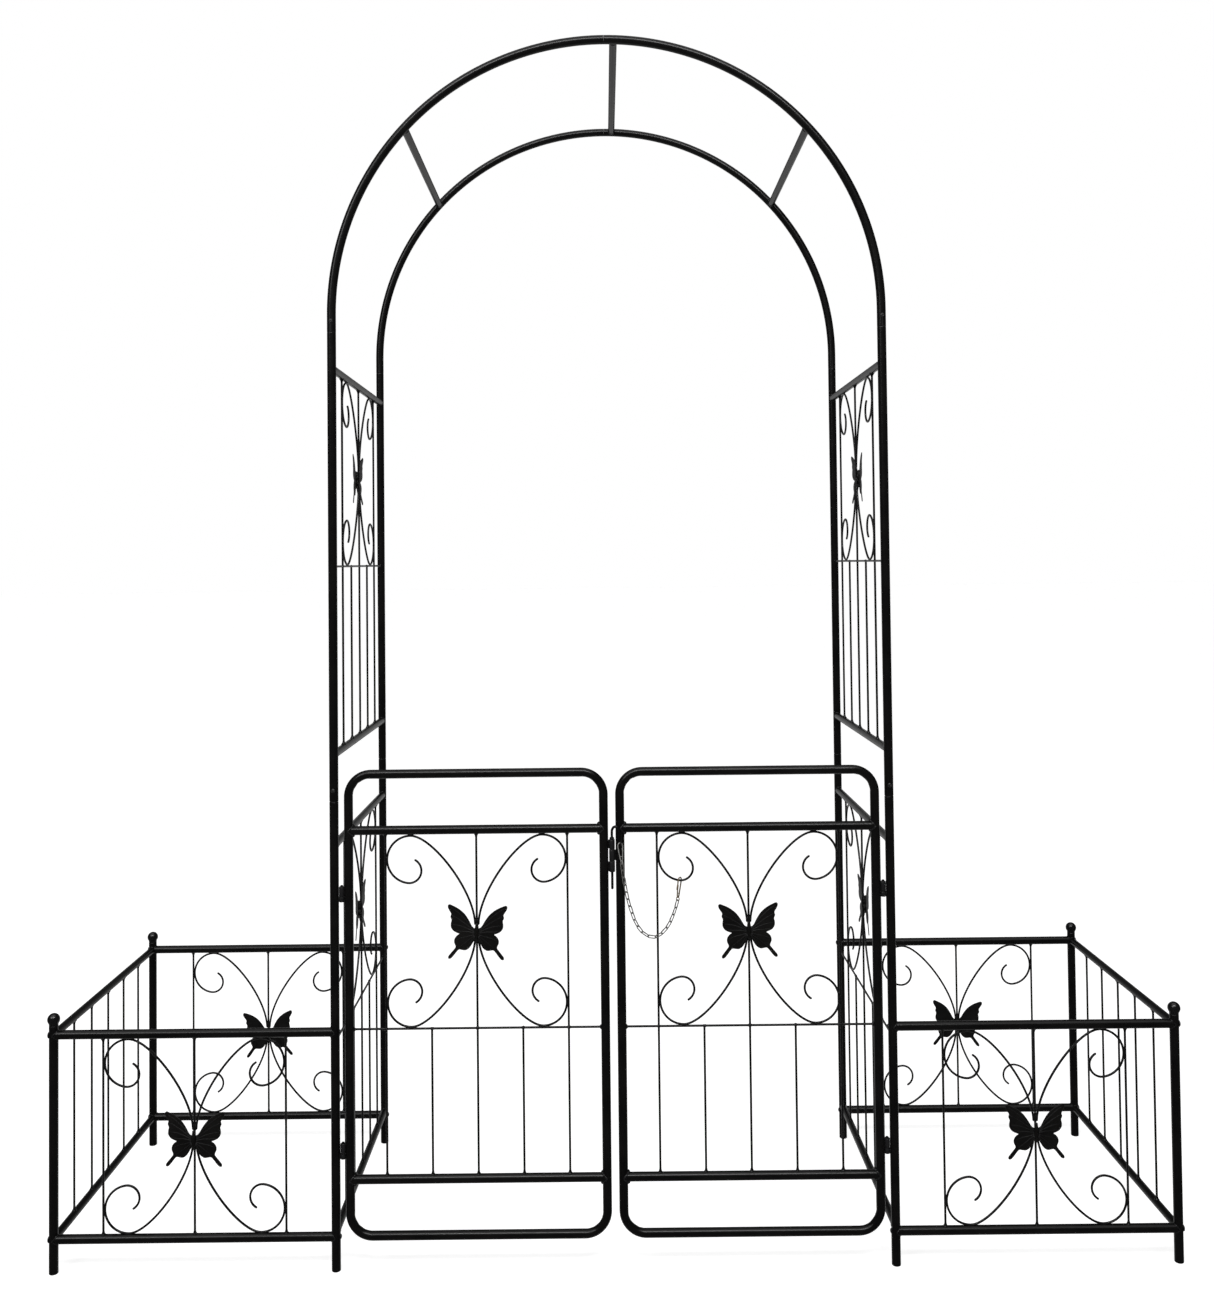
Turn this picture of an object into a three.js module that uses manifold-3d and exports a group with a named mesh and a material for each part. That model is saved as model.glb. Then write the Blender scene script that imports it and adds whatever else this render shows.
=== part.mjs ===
// Metal garden arch with a double gate between its front posts and a planter frame at each side.
// Millimetres. +X is to the right, +Y to the back, +Z up. The origin is on the ground, in the
// middle of the arch.
import * as THREE from 'three';
import { mergeVertices } from 'three/addons/utils/BufferGeometryUtils.js';
import Module from 'manifold-3d';

const wasm = await Module();
wasm.setup();

// ---------------------------------------------------------------- driving dimensions
const ARCH_HALF_WIDTH = 495; // arch posts, centre line from the middle
const PLANTER_HALF_WIDTH = 995; // planter posts, centre line from the middle
const HALF_DEPTH = 250; // front and rear planes, centre line from the middle
const SPRING_HEIGHT = 1697; // where the half circle of the arch begins
const ARCH_RADIUS = ARCH_HALF_WIDTH;

const TUBE = 16; // outer diameter of posts, arches, gate frames and front rails
const THIN_TUBE = 14; // outer diameter of the cross bars and side rails
const ROD = 4; // diameter of the upright rods and the scrolls
const GAP = 0.3; // clearance between separate pieces that touch
const WELD = 1; // how far welded wires run into each other

const POST_JOINT = 825; // lower post to upper post
const ARCH_JOINT = 1665; // upper post to arch tube
const SPIGOT = { diameter: 12.6, length: 35, bore: 13.6 };
const SCREW = { head: 8, headHeight: 2.2, shank: 4, reach: 5, aboveJoint: 20 };
const CROSS_BARS = [['left', -47], ['top', 2], ['right', 47.8]]; // degrees from the arch's top
const COLLAR = { diameter: 16, length: 10 };

const UPPER_PANEL = { top: 1600, mid: 1244, bottom: 908 };
const LOWER_PANEL = { top: 747, mid: 400, bottom: 68 };
const PLANTER_PANEL = { top: 417.7, bottom: 59.2 };
const ROD_SPACING = 81; // between neighbouring upright rods

const GATE = {
  meetingStile: 14.5, // centre line from the middle
  hingeStile: 469.2,
  top: 872.7,
  upperRail: 772.9,
  mid: 422.1,
  lowerRail: 158.5,
  bottom: 59.9,
  cornerRadius: 40,
};
const HINGE = {
  x: 482,
  heights: [195, 647],
  lug: 9,
  sleeve: 17.7,
  sleeveDiameter: 9.4,
  pin: 5,
  bore: 6,
  proud: 3, // the pin above its sleeve
};
const KNUCKLE = { diameter: 10.4, bore: 6, left: [[736, 753], [695.5, 714.5]], right: [[715, 735.5]] };
const WEB = { inSleeve: 3.8, inTube: 6, thickness: 3, lugThickness: 6 }; // small plates between tubes
const LATCH = { pin: 5, handle: 4.6, tip: 665, bendStart: 758, collarDiameter: 8.4, collar: [753.4, 756.4] };
const EYE = { centre: [14.5, -262, 748.5], radius: 2.9, wire: 2.2, turnDeg: -60 };
const CLIP = { wire: 2, thickness: 2 }; // the flat stock of the snap hook and the end clip
const SNAP_HOOK = { top: 11, bottom: 5.4, length: 34, turnDeg: 30, tiltDeg: -4.8, at: [14.5, -262, 744.4] };
const END_CLIP = { top: 12, bottom: 7, length: 38, turnDeg: 52, tiltDeg: 6.5, at: [120, -250, 679.4] };

const PLANTER_POST_TOP = 434.5;
const FINIAL = { ball: 21.6, sunk: 0.6, skirt: 4, peg: 11, pegLength: 10 };

const SCROLL = {
  curl: 42,
  innerCurl: 21.8,
  switchDeg: -82, // where the curl tightens
  endDeg: -239,
  foot: 12, // the stem starts this far from the motif's centre
  footPull: [2, 0.43], // the stem's two handles: sideways from its foot and share of its reach,
  topPull: 0.68, // and share of the way across to the curl
};
const BUTTERFLY = { thickness: 1.6, bendDeg: 5, body: 6.8, bodyLength: 36 };
// The butterflies are welded on by hand: how far each sits below the middle of its scrolls, and how
// many degrees it leans clockwise as seen from its own front.
const BUTTERFLY_SEATS = {
  side_upper_left: [4.7, 0],
  side_upper_right: [12, 0],
  side_lower_left: [5, 0],
  side_lower_right: [5, 0],
  planter_front_left: [6.2, 1.1],
  planter_front_right: [8, -0.7],
  planter_rear_left: [5.5, 2.9],
  planter_rear_right: [-2.2, -2.4],
  gate_left: [3.7, 2.2],
  gate_right: [5.4, -1.3],
};

const TUBE_SIDES = 8;
const ROD_SIDES = 6;
const PIN_SIDES = 10;
const SCROLL_SIDES = 4;
const SCROLL_STEPS = 12; // a multiple of three, for the scroll's three stretches
const ARCH_STEPS = 14;
const CORNER_STEPS = 4;
const OVERCUT = 1; // how far a cutting tool runs past the face it cuts

// ---------------------------------------------------------------- materials
const powderCoat = () => new THREE.MeshStandardMaterial({ color: 0x121214, roughness: 0.42, metalness: 0.3 });
const zincSteel = () => new THREE.MeshStandardMaterial({ color: 0x9d9c96, roughness: 0.35, metalness: 1 });
const brass = () => new THREE.MeshStandardMaterial({ color: 0xb49a62, roughness: 0.38, metalness: 1 });

// ---------------------------------------------------------------- solids
const ROUND_OFF = 1e-3; // corners closer than this are one corner

function toSolid(geometry) {
  const bare = geometry.clone();
  bare.deleteAttribute('normal');
  bare.deleteAttribute('uv');
  const merged = mergeVertices(bare, ROUND_OFF);
  const corners = merged.index.array;
  const kept = [];
  for (let i = 0; i < corners.length; i += 3) {
    const [a, b, c] = corners.slice(i, i + 3);
    if (a !== b && b !== c && c !== a) kept.push(a, b, c);
  }
  return new wasm.Manifold(new wasm.Mesh({
    numProp: 3,
    vertProperties: new Float32Array(merged.attributes.position.array),
    triVerts: new Uint32Array(kept),
  }));
}

function join(geometries) {
  return geometries.map(toSolid).reduce((whole, piece) => whole.add(piece));
}

function cut(solid, geometries) {
  return geometries.map(toSolid).reduce((rest, tool) => rest.subtract(tool), solid);
}

function namedMesh(name, solid, material) {
  const { vertProperties, triVerts } = solid.getMesh();
  const geometry = new THREE.BufferGeometry();
  geometry.setAttribute('position', new THREE.BufferAttribute(vertProperties, 3));
  geometry.setIndex(new THREE.BufferAttribute(triVerts, 1));
  geometry.computeVertexNormals();
  const mesh = new THREE.Mesh(geometry, material);
  mesh.name = name;
  return mesh;
}

// A round bar between two points.
function bar(start, end, diameter, sides = TUBE_SIDES) {
  const from = new THREE.Vector3(...start);
  const along = new THREE.Vector3(...end).sub(from);
  const turn = new THREE.Quaternion().setFromUnitVectors(
    new THREE.Vector3(0, 1, 0), along.clone().normalize());
  return new THREE.CylinderGeometry(diameter / 2, diameter / 2, along.length(), sides)
    .applyQuaternion(turn)
    .translate(...from.addScaledVector(along, 0.5).toArray());
}

function upright(x, y, bottom, top, diameter, sides) {
  return bar([x, y, bottom], [x, y, top], diameter, sides);
}

// A round wire or tube along a curve.
function sweep(curve, diameter, sides, steps) {
  const corners = Array.from({ length: sides }, (_, i) => {
    const angle = (2 * Math.PI * i) / sides;
    return new THREE.Vector2(Math.cos(angle), Math.sin(angle)).multiplyScalar(diameter / 2);
  });
  return new THREE.ExtrudeGeometry(new THREE.Shape(corners), {
    steps, bevelEnabled: false, extrudePath: curve,
  });
}

// An arc in an upright plane, y constant. Angles in degrees from +X towards +Z.
class UprightArc extends THREE.Curve {
  constructor(x, y, z, radius, startDeg, endDeg) {
    super();
    Object.assign(this, { x, y, z, radius, startDeg, endDeg });
  }

  getPoint(t) {
    const angle = THREE.MathUtils.degToRad(THREE.MathUtils.lerp(this.startDeg, this.endDeg, t));
    const { x, y, z, radius } = this;
    return new THREE.Vector3(x + radius * Math.cos(angle), y, z + radius * Math.sin(angle));
  }
}

// ---------------------------------------------------------------- scrollwork panels
// Each panel is built in the plane y = 0 about x = 0, at its real heights, and placed by its mesh.

// One scroll in a quarter of the motif: a stem that leaves the middle rod near the motif's centre,
// bends over to touch the rail, then curls in beside the outer rod.
class ScrollCurve extends THREE.Curve {
  constructor(sideX, centreZ, reachZ) {
    super();
    const foot = ROD - WELD;
    const curlX = 2 * ROD_SPACING - foot - SCROLL.curl;
    const reach = Math.abs(reachZ);
    this.place = (x, z) => new THREE.Vector3(sideX * x, 0, centreZ + Math.sign(reachZ) * z);
    this.stem = new THREE.CubicBezierCurve(
      new THREE.Vector2(foot, SCROLL.foot),
      new THREE.Vector2(foot + SCROLL.footPull[0], SCROLL.footPull[1] * reach),
      new THREE.Vector2(SCROLL.topPull * curlX, reach), new THREE.Vector2(curlX, reach));
    this.curl = new THREE.ArcCurve(curlX, reach - SCROLL.curl, SCROLL.curl,
      Math.PI / 2, THREE.MathUtils.degToRad(SCROLL.switchDeg), true);
    const turn = THREE.MathUtils.degToRad(SCROLL.switchDeg);
    const shift = SCROLL.curl - SCROLL.innerCurl;
    this.innerCurl = new THREE.ArcCurve(
      curlX + shift * Math.cos(turn), reach - SCROLL.curl + shift * Math.sin(turn),
      SCROLL.innerCurl, turn, THREE.MathUtils.degToRad(SCROLL.endDeg), true);
  }

  // Equal shares of t, so the tight curls get as many steps as the long stem.
  getPoint(t) {
    const third = Math.min(Math.floor(t * 3), 2);
    const point = [this.stem, this.curl, this.innerCurl][third].getPoint(t * 3 - third);
    return this.place(point.x, point.y);
  }

  getUtoTmapping(u) {
    return u;
  }
}

function scrolls(upperEdge, lowerEdge) {
  const centre = (upperEdge + lowerEdge) / 2;
  const reach = upperEdge - centre - ROD / 2 + WELD;
  return [-1, 1].flatMap((side) => [-reach, reach].map((height) =>
    sweep(new ScrollCurve(side, centre, height), ROD, SCROLL_SIDES, SCROLL_STEPS)));
}

function rods(count, bottom, top) {
  const spacing = (4 * ROD_SPACING) / (count - 1);
  return Array.from({ length: count }, (_, i) =>
    upright((i - (count - 1) / 2) * spacing, 0, bottom, top, ROD, ROD_SIDES));
}

function levelRod(z, halfLength) {
  return bar([-halfLength, 0, z], [halfLength, 0, z], ROD, ROD_SIDES);
}

function rail(z, halfLength, diameter) {
  return bar([-halfLength, 0, z], [halfLength, 0, z], diameter);
}

const RAIL_HALF_LENGTH = HALF_DEPTH - TUBE / 2 - GAP;

// Side wall of the arch: scrolls above the middle rod, five slats below it.
function sideWall({ top, mid, bottom }) {
  const inset = THIN_TUBE / 2;
  return join([
    rail(top, RAIL_HALF_LENGTH, THIN_TUBE),
    rail(bottom, RAIL_HALF_LENGTH, THIN_TUBE),
    levelRod(mid, RAIL_HALF_LENGTH),
    ...rods(3, mid, top),
    ...rods(5, bottom, mid),
    ...scrolls(top - inset, mid + ROD / 2),
  ]);
}

function planterScrollPanel({ top, bottom }) {
  return join([
    rail(top, RAIL_HALF_LENGTH, TUBE),
    rail(bottom, RAIL_HALF_LENGTH, TUBE),
    ...rods(3, bottom, top),
    ...scrolls(top - TUBE / 2, bottom + TUBE / 2),
  ]);
}

function planterSlatPanel({ top, bottom }) {
  return join([
    rail(top, RAIL_HALF_LENGTH, THIN_TUBE),
    rail(bottom, RAIL_HALF_LENGTH, THIN_TUBE),
    ...rods(5, bottom, top),
  ]);
}

// Welded into the gate frame in one piece: it fills the space between the gate's two rails.
function gateInfill() {
  const top = GATE.upperRail - TUBE / 2 - GAP;
  const bottom = GATE.lowerRail + TUBE / 2 + GAP;
  const halfWidth = (GATE.hingeStile - GATE.meetingStile - TUBE) / 2 - GAP;
  return join([
    levelRod(GATE.mid, halfWidth),
    ...rods(3, GATE.mid, top),
    ...rods(5, bottom, GATE.mid),
    ...scrolls(top - WELD - GAP, GATE.mid + ROD / 2),
  ]);
}

// ---------------------------------------------------------------- butterfly
// A pressed plate whose wings bend back a little from a round body. Its body's axis starts from
// x = y = 0 and leans a little.
function butterfly(motifZ, [drop, leanDeg]) {
  const outline = [
    [1, 8], [7, 9], [22.7, 33.6], [34.6, 42.5], [50, 49], [53.5, 43], [46, 31], [47, 10],
    [31.5, -2.6], [39.9, -14], [37, -27], [50, -44.6], [46.4, -47.6], [31, -31], [13, -30],
    [6, -16], [1, -8],
  ];
  const wings = [-1, 1].map((side) => {
    const points = outline.map(([x, z]) => new THREE.Vector2(side * x, z));
    return new THREE.ExtrudeGeometry(new THREE.Shape(points), {
      depth: BUTTERFLY.thickness, bevelEnabled: false,
    })
      .translate(0, 0, -BUTTERFLY.thickness / 2)
      .rotateX(Math.PI / 2)
      .rotateZ(side * THREE.MathUtils.degToRad(BUTTERFLY.bendDeg));
  });
  const half = BUTTERFLY.bodyLength / 2;
  const body = upright(0, 0, -half, half, BUTTERFLY.body, ROD_SIDES);
  return join([...wings, body].map((piece) =>
    piece.rotateY(THREE.MathUtils.degToRad(leanDeg)).translate(0, 0, motifZ - drop)));
}

const BUTTERFLY_OFFSET = ROD / 2 + GAP + BUTTERFLY.body / 2; // body's axis in front of the rods

// ---------------------------------------------------------------- posts and arch tubes
const SCREW_BORE = SCREW.shank + 2 * GAP;

const SCREW_HEIGHT = POST_JOINT + SCREW.aboveJoint;
const ARCH_SPIGOT = SPIGOT.length - ROD; // the spigots in the arch tubes are a little shorter

// The screw that pins a post's joint comes in from the face at -Y.
function screwHole() {
  return bar([0, -TUBE, SCREW_HEIGHT], [0, -TUBE / 2 + SCREW.reach + GAP, SCREW_HEIGHT],
    SCREW_BORE, TUBE_SIDES);
}

// The spigot is drilled too, so that the screw goes through both tubes.
function lowerPost() {
  const body = join([
    upright(0, 0, 0, POST_JOINT, TUBE),
    upright(0, 0, POST_JOINT - WELD, POST_JOINT + SPIGOT.length, SPIGOT.diameter),
  ]);
  return cut(body, [screwHole()]);
}

function upperPost() {
  const body = join([
    upright(0, 0, POST_JOINT + GAP, ARCH_JOINT, TUBE),
    upright(0, 0, ARCH_JOINT - WELD, ARCH_JOINT + ARCH_SPIGOT, SPIGOT.diameter),
  ]);
  return cut(body, [
    upright(0, 0, 0, POST_JOINT + SPIGOT.length + OVERCUT, SPIGOT.bore),
    screwHole(),
  ]);
}

function archTube(y, side) {
  const springDeg = side < 0 ? 180 : 0;
  const gapDeg = THREE.MathUtils.radToDeg(GAP / ARCH_RADIUS);
  const topDeg = side < 0 ? 90 + gapDeg : 90;
  const x = side * ARCH_HALF_WIDTH;
  const arc = new UprightArc(0, y, SPRING_HEIGHT, ARCH_RADIUS, springDeg, topDeg);
  const body = join([
    sweep(arc, TUBE, TUBE_SIDES, ARCH_STEPS),
    upright(x, y, ARCH_JOINT + GAP, SPRING_HEIGHT + WELD, TUBE),
  ]);
  return cut(body, [upright(x, y, 0, ARCH_JOINT + ARCH_SPIGOT + OVERCUT, SPIGOT.bore)]);
}

function crossBar() {
  const end = HALF_DEPTH - TUBE / 2 - GAP;
  const collars = [-1, 1].map((side) =>
    bar([0, side * end, 0], [0, side * (end - COLLAR.length), 0], COLLAR.diameter));
  return join([bar([0, WELD - end, 0], [0, end - WELD, 0], THIN_TUBE), ...collars]);
}

function postScrew() {
  const surface = -TUBE / 2 - GAP;
  return join([
    bar([0, surface - SCREW.headHeight, 0], [0, surface, 0], SCREW.head, TUBE_SIDES),
    bar([0, surface - WELD, 0], [0, -TUBE / 2 + SCREW.reach, 0], SCREW.shank, ROD_SIDES),
  ]);
}

function planterPost() {
  return cut(join([upright(0, 0, 0, PLANTER_POST_TOP, TUBE)]), [
    upright(0, 0, PLANTER_POST_TOP - FINIAL.pegLength - OVERCUT, PLANTER_POST_TOP + OVERCUT,
      FINIAL.peg + 2 * GAP),
  ]);
}

function finial() {
  const base = PLANTER_POST_TOP + GAP;
  const radius = FINIAL.ball / 2;
  const ball = new THREE.SphereGeometry(radius, 2 * ROD_SIDES, ROD_SIDES)
    .rotateX(Math.PI / 2)
    .translate(0, 0, base + radius - FINIAL.sunk);
  return join([
    ball,
    upright(0, 0, base, base + FINIAL.skirt, TUBE),
    upright(0, 0, base - FINIAL.pegLength, base + WELD, FINIAL.peg),
  ]);
}

// ---------------------------------------------------------------- gate leaves
function ring(x, y, bottom, top, outer, inner) {
  return cut(join([upright(x, y, bottom, top, outer)]),
    [upright(x, y, bottom - OVERCUT, top + OVERCUT, inner)]);
}

// A short web that welds a sleeve at x = from to the tube at x = to.
function weldWeb(from, to, bottom, top, width) {
  return new THREE.BoxGeometry(Math.abs(to - from), width, top - bottom)
    .translate((from + to) / 2, -HALF_DEPTH, (bottom + top) / 2);
}

function gateFrame(side) {
  const y = -HALF_DEPTH;
  const near = side * GATE.meetingStile;
  const far = side * GATE.hingeStile;
  const r = GATE.cornerRadius;
  const level = (z, inset) => bar([near + side * inset, y, z], [far - side * inset, y, z], TUBE);
  const stile = (x) => upright(x, y, GATE.bottom + r - WELD, GATE.top - r + WELD, TUBE);
  const corner = (x, z, startDeg) => sweep(
    new UprightArc(x, y, z, r, startDeg, startDeg + 90), TUBE, TUBE_SIDES, CORNER_STEPS);
  const [left, right] = [Math.min(near, far) + r, Math.max(near, far) - r];
  let frame = join([
    level(GATE.top, r - WELD), level(GATE.upperRail, 0), level(GATE.lowerRail, 0),
    level(GATE.bottom, r - WELD), stile(near), stile(far),
    corner(right, GATE.top - r, 0), corner(left, GATE.top - r, 90),
    corner(left, GATE.bottom + r, 180), corner(right, GATE.bottom + r, 270),
  ]);
  for (const z of HINGE.heights) {
    const bottom = z + HINGE.lug + GAP;
    const top = bottom + HINGE.sleeve;
    const x = side * HINGE.x;
    frame = frame
      .add(ring(x, y, bottom, top, HINGE.sleeveDiameter, HINGE.bore))
      .add(toSolid(weldWeb(x - side * WEB.inSleeve, far + side * WEB.inTube,
        bottom + WELD, top - WELD, WEB.thickness)));
  }
  for (const [bottom, top] of side < 0 ? KNUCKLE.left : KNUCKLE.right) {
    frame = frame
      .add(ring(0, y, bottom, top, KNUCKLE.diameter, KNUCKLE.bore))
      .add(toSolid(weldWeb(side * WEB.inSleeve, near - side * WEB.inTube,
        bottom + WELD, top - WELD, WEB.thickness)));
  }
  return frame;
}

// The pin that a gate leaf hangs on, on its lug at the post.
function hingePintle(side, z) {
  const y = -HALF_DEPTH;
  const x = side * HINGE.x;
  const postFace = side * (ARCH_HALF_WIDTH - TUBE / 2 - GAP);
  const pinTop = z + HINGE.lug + HINGE.sleeve + HINGE.proud;
  return join([
    upright(x, y, z, z + HINGE.lug, HINGE.sleeveDiameter),
    weldWeb(x, postFace, z + WELD, z + HINGE.lug - WELD, WEB.lugThickness),
    upright(x, y, z + WELD, pinTop, HINGE.pin),
  ]);
}

// ---------------------------------------------------------------- latch and its chain
function latchPin() {
  const y = -HALF_DEPTH;
  const bend = new THREE.CatmullRomCurve3([
    [0, y, LATCH.bendStart], [0, y, 763], [0.5, -256, 771], [3.5, -260.5, 776.5], [8, -262, 777.5],
    [12.5, -262, 773.5], [14.5, -262, 765], [14.5, -262, 752],
  ].map((point) => new THREE.Vector3(...point)));
  const [x, eyeY, z] = EYE.centre;
  const eye = new THREE.TorusGeometry(EYE.radius, EYE.wire / 2, ROD_SIDES, TUBE_SIDES)
    .rotateX(Math.PI / 2)
    .rotateZ(THREE.MathUtils.degToRad(EYE.turnDeg))
    .translate(x, eyeY, z);
  return join([
    upright(0, y, LATCH.tip, LATCH.bendStart + WELD, LATCH.pin, PIN_SIDES),
    upright(0, y, ...LATCH.collar, LATCH.collarDiameter, PIN_SIDES),
    sweep(bend, LATCH.handle, PIN_SIDES, 12),
    eye,
  ]);
}

// A flat plate with a large and a small round end, hanging down from z = 0, its thickness along Y.
function pearPlate(topRadius, bottomRadius, drop, thickness) {
  const shape = new THREE.Shape()
    .absarc(0, 0, topRadius, 0, Math.PI, false)
    .absarc(0, -drop, bottomRadius, Math.PI, 2 * Math.PI, false);
  return new THREE.ExtrudeGeometry(shape, { depth: thickness, bevelEnabled: false, curveSegments: 5 })
    .translate(0, 0, -thickness / 2)
    .rotateX(Math.PI / 2);
}

// A closed pear-shaped snap hook, its upper round end centred on the given place.
function snapHook({ top, bottom, length, turnDeg, tiltDeg, at }) {
  const drop = length - (top + bottom) / 2;
  const place = new THREE.Matrix4().makeTranslation(...at)
    .multiply(new THREE.Matrix4().makeRotationY(THREE.MathUtils.degToRad(tiltDeg)))
    .multiply(new THREE.Matrix4().makeRotationZ(THREE.MathUtils.degToRad(turnDeg)));
  const plate = (narrower, thickness) =>
    pearPlate(top / 2 - narrower, bottom / 2 - narrower, drop, thickness).applyMatrix4(place);
  return cut(join([plate(0, CLIP.thickness)]), [plate(CLIP.wire, 3 * CLIP.thickness)]);
}

const CHAIN_DIAMETER = 6.6; // over the links
const CHAIN_ROUTE = [
  [16.9, -262, 713.2], [19.4, -262, 691], [22.6, -261.9, 672.7], [27, -261.4, 650],
  [32.8, -260.6, 629.8], [40.5, -259.7, 608.6], [52, -258.7, 591.2], [65.5, -258.2, 582.9],
  [77, -258, 582.6], [88.5, -257.6, 589.8], [98.8, -256.8, 602], [106.6, -255.7, 617.5],
  [112.2, -254, 632], [115.8, -251.6, 644.1],
];

function chain() {
  const route = new THREE.CatmullRomCurve3(CHAIN_ROUTE.map((point) => new THREE.Vector3(...point)));
  return toSolid(sweep(route, CHAIN_DIAMETER, TUBE_SIDES, 20));
}

// ---------------------------------------------------------------- assembly
const arch = new THREE.Group();
const planters = new THREE.Group();
const gates = new THREE.Group();

function place(group, mesh, x, y, turnDeg = 0, z = 0) {
  mesh.position.set(x, y, z);
  mesh.rotation.z = THREE.MathUtils.degToRad(turnDeg);
  group.add(mesh);
}

const SIDES = [['left', -1], ['right', 1]];
const ENDS = [['front', -1], ['rear', 1]];

for (const [endName, end] of ENDS) {
  const y = end * HALF_DEPTH;
  const facing = end < 0 ? 0 : 180; // screws sit on the outer face
  for (const [sideName, side] of SIDES) {
    const x = side * ARCH_HALF_WIDTH;
    const corner = `${endName}_${sideName}`;
    place(arch, namedMesh(`lower_post_${corner}`, lowerPost(), powderCoat()), x, y, facing);
    place(arch, namedMesh(`upper_post_${corner}`, upperPost(), powderCoat()), x, y, facing);
    place(arch, namedMesh(`arch_tube_${corner}`, archTube(y, side), powderCoat()), 0, 0);
    place(arch, namedMesh(`post_joint_screw_${corner}`, postScrew(), powderCoat()),
      x, y, facing, SCREW_HEIGHT);
  }
}

for (const [name, angleDeg] of CROSS_BARS) {
  const angle = THREE.MathUtils.degToRad(angleDeg);
  place(arch, namedMesh(`cross_bar_${name}`, crossBar(), powderCoat()),
    ARCH_RADIUS * Math.sin(angle), 0, 0, SPRING_HEIGHT + ARCH_RADIUS * Math.cos(angle));
}

for (const [sideName, side] of SIDES) {
  const outward = side * 90; // turns a front face at -Y to the outer side
  for (const [level, panel] of [['upper', UPPER_PANEL], ['lower', LOWER_PANEL]]) {
    const motif = (panel.top - THIN_TUBE / 2 + panel.mid + ROD / 2) / 2;
    place(arch, namedMesh(`side_wall_${level}_${sideName}`, sideWall(panel), powderCoat()),
      side * ARCH_HALF_WIDTH, 0, outward);
    const seat = BUTTERFLY_SEATS[`side_${level}_${sideName}`];
    place(arch, namedMesh(`side_butterfly_${level}_${sideName}`, butterfly(motif, seat), powderCoat()),
      side * (ARCH_HALF_WIDTH + BUTTERFLY_OFFSET), 0, outward);
  }
}

for (const [sideName, side] of SIDES) {
  const x = side * PLANTER_HALF_WIDTH;
  const middle = (side * (PLANTER_HALF_WIDTH + ARCH_HALF_WIDTH)) / 2;
  const motif = (PLANTER_PANEL.top + PLANTER_PANEL.bottom) / 2;
  place(planters, namedMesh(`planter_end_panel_${sideName}`, planterSlatPanel(PLANTER_PANEL), powderCoat()),
    x, 0, 90);
  for (const [endName, end] of ENDS) {
    const y = end * HALF_DEPTH;
    const corner = `${endName}_${sideName}`;
    const facing = end < 0 ? 0 : 180;
    place(planters, namedMesh(`planter_post_${corner}`, planterPost(), powderCoat()), x, y);
    place(planters, namedMesh(`planter_finial_${corner}`, finial(), powderCoat()), x, y);
    place(planters, namedMesh(`planter_panel_${corner}`, planterScrollPanel(PLANTER_PANEL), powderCoat()),
      middle, y);
    const seat = BUTTERFLY_SEATS[`planter_${corner}`];
    place(planters, namedMesh(`planter_butterfly_${corner}`, butterfly(motif, seat), powderCoat()),
      middle, y + end * BUTTERFLY_OFFSET, facing);
  }
}

for (const [sideName, side] of SIDES) {
  const middle = (side * (GATE.meetingStile + GATE.hingeStile)) / 2;
  const motif = (GATE.upperRail - TUBE / 2 + GATE.mid + ROD / 2) / 2;
  place(gates, namedMesh(`gate_frame_${sideName}`, gateFrame(side), powderCoat()), 0, 0);
  place(gates, namedMesh(`gate_infill_${sideName}`, gateInfill(), powderCoat()), middle, -HALF_DEPTH);
  const seat = BUTTERFLY_SEATS[`gate_${sideName}`];
  place(gates, namedMesh(`gate_butterfly_${sideName}`, butterfly(motif, seat), powderCoat()),
    middle, -HALF_DEPTH - BUTTERFLY_OFFSET);
  HINGE.heights.forEach((z, i) => {
    place(arch, namedMesh(`hinge_pintle_${['lower', 'upper'][i]}_${sideName}`,
      hingePintle(side, z), powderCoat()), 0, 0);
  });
}

place(gates, namedMesh('latch_pin', latchPin(), powderCoat()), 0, 0);
place(gates, namedMesh('latch_chain', chain(), zincSteel()), 0, 0);
place(gates, namedMesh('chain_snap_hook', snapHook(SNAP_HOOK), zincSteel()), 0, 0);
place(gates, namedMesh('chain_end_clip', snapHook(END_CLIP), brass()), 0, 0);

const trellisArch = new THREE.Group();
trellisArch.add(arch, planters, gates);

export default trellisArch;
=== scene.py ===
import math

import bpy
from mathutils import Matrix, Vector, noise


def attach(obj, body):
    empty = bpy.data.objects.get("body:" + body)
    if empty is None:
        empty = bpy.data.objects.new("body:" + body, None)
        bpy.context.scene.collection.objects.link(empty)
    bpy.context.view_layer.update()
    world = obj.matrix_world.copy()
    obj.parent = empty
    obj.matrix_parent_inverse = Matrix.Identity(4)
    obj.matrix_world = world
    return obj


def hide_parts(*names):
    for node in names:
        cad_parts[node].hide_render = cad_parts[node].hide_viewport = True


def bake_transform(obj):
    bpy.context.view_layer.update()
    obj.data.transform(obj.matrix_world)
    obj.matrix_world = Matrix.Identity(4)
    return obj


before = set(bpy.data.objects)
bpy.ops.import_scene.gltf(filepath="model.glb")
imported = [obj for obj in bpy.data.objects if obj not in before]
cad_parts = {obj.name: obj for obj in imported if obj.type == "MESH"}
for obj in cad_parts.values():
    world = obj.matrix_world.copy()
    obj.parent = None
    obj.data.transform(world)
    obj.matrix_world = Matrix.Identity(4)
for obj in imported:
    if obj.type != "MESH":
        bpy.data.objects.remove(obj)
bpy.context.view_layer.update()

# ---- the part's own dimensions
MM = 0.001
ARCH_X = 0.495  # arch posts, centre line from the middle
PLANTER_X = 0.995  # planter posts
DEPTH_Y = 0.25  # front and rear planes
SPRING_Z = 1.697  # where the half circle of the arch begins
ARCH_RADIUS = ARCH_X
TUBE = 0.008  # outer radius of posts, arches, gate frames and the planters' front and rear rails
THIN_TUBE = 0.007  # outer radius of cross bars, side walls' rails and the planters' end rails
ROD = 0.002  # radius of rods and scrolls
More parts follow.
